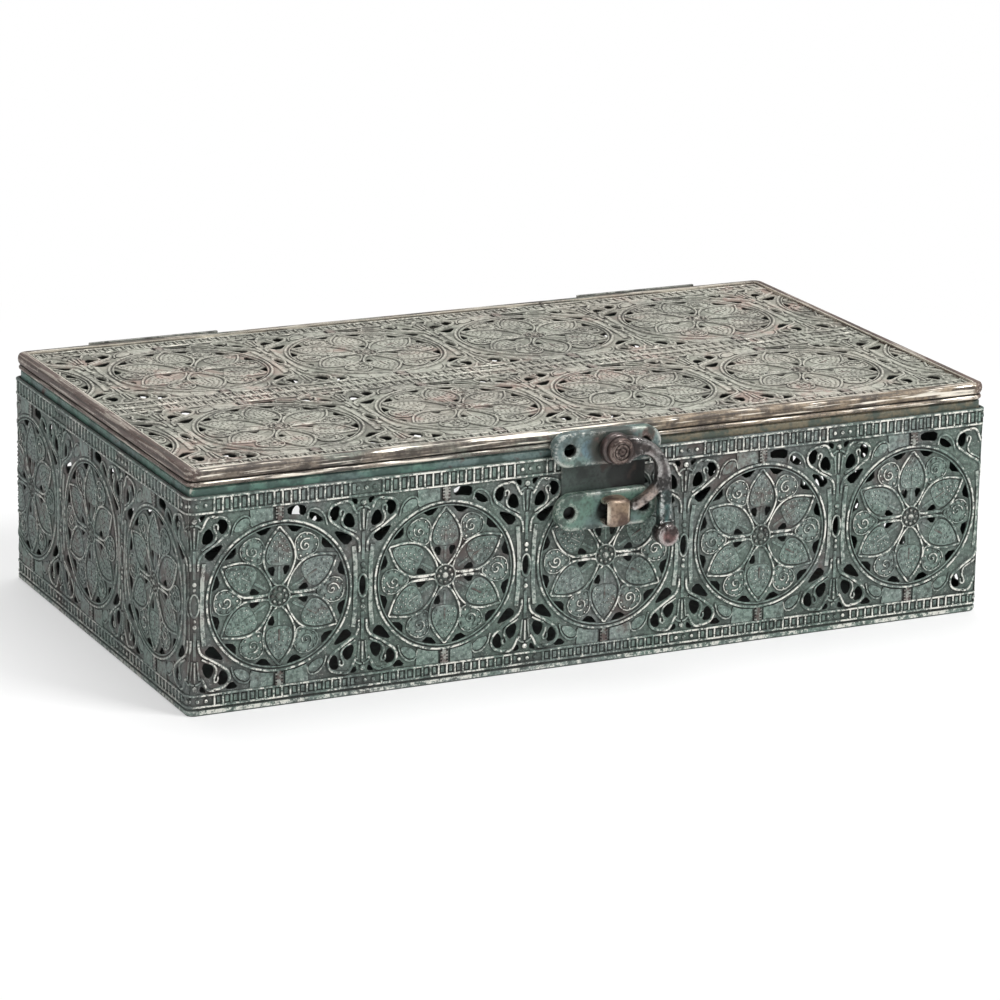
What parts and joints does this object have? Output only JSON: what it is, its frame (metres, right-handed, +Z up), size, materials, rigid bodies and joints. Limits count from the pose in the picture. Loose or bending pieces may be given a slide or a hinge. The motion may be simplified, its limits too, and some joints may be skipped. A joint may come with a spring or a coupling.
{
  "type": "pierced metal keepsake box",
  "caption": "Long low hinged box of pierced filigree metal strips, with a beaded lid rim and a swinging horn-hook latch at the front.",
  "frame": {"origin": "centre of the underside, on the surface the box stands on", "axes": "+X to the right along the length, +Y to the hinged back, +Z up; the latch faces -Y"},
  "size_m": [0.22, 0.1336, 0.0613],
  "materials": {
    "wall_filigree": "worn green patina over pressed metal",
    "shoulder": "dull",
    "base": "dull",
    "lid_filigree": "worn pale patina over pressed metal",
    "rim": "worn",
    "hinge_leaf": "dull",
    "hinge_pin": "plain",
    "latch_backing": "dull",
    "latch_plate": "worn",
    "catch_loop": "tarnished",
    "hook_rivet": "tarnished",
    "hook": "worn"
  },
  "bodies": {
    "case": {"front_wall": "wall_filigree", "back_wall": "wall_filigree", "left_wall": "wall_filigree", "right_wall": "wall_filigree", "front_shoulder": "shoulder", "back_shoulder": "shoulder", "left_shoulder": "shoulder", "right_shoulder": "shoulder", "base_plate": "base", "latch_backing": "latch_backing", "catch_plate": "latch_plate", "catch_loop": "catch_loop", "left_case_leaf": "hinge_leaf", "right_case_leaf": "hinge_leaf", "left_hinge_pin": "hinge_pin", "right_hinge_pin": "hinge_pin"},
    "lid": {"lid_front_strip": "lid_filigree", "lid_back_strip": "lid_filigree", "front_rim": "rim", "back_rim": "rim", "left_rim": "rim", "right_rim": "rim", "left_lid_leaf": "hinge_leaf", "right_lid_leaf": "hinge_leaf", "hook_plate": "latch_plate", "hook_rivet": "hook_rivet"},
    "hook": {"hook": "hook"}
  },
  "joints": [
    {"name": "lid_hinge", "type": "hinge", "parent": "case", "child": "lid", "pos_m": [0, 0.0627, 0.0563], "axis": [-1, 0, 0], "range_deg": [0, 110]},
    {"name": "hook_pivot", "type": "hinge", "parent": "lid", "child": "hook", "pos_m": [0.0008, -0.0657, 0.0565], "axis": [0, -1, 0], "range_deg": [-22, 110]}
  ]
}
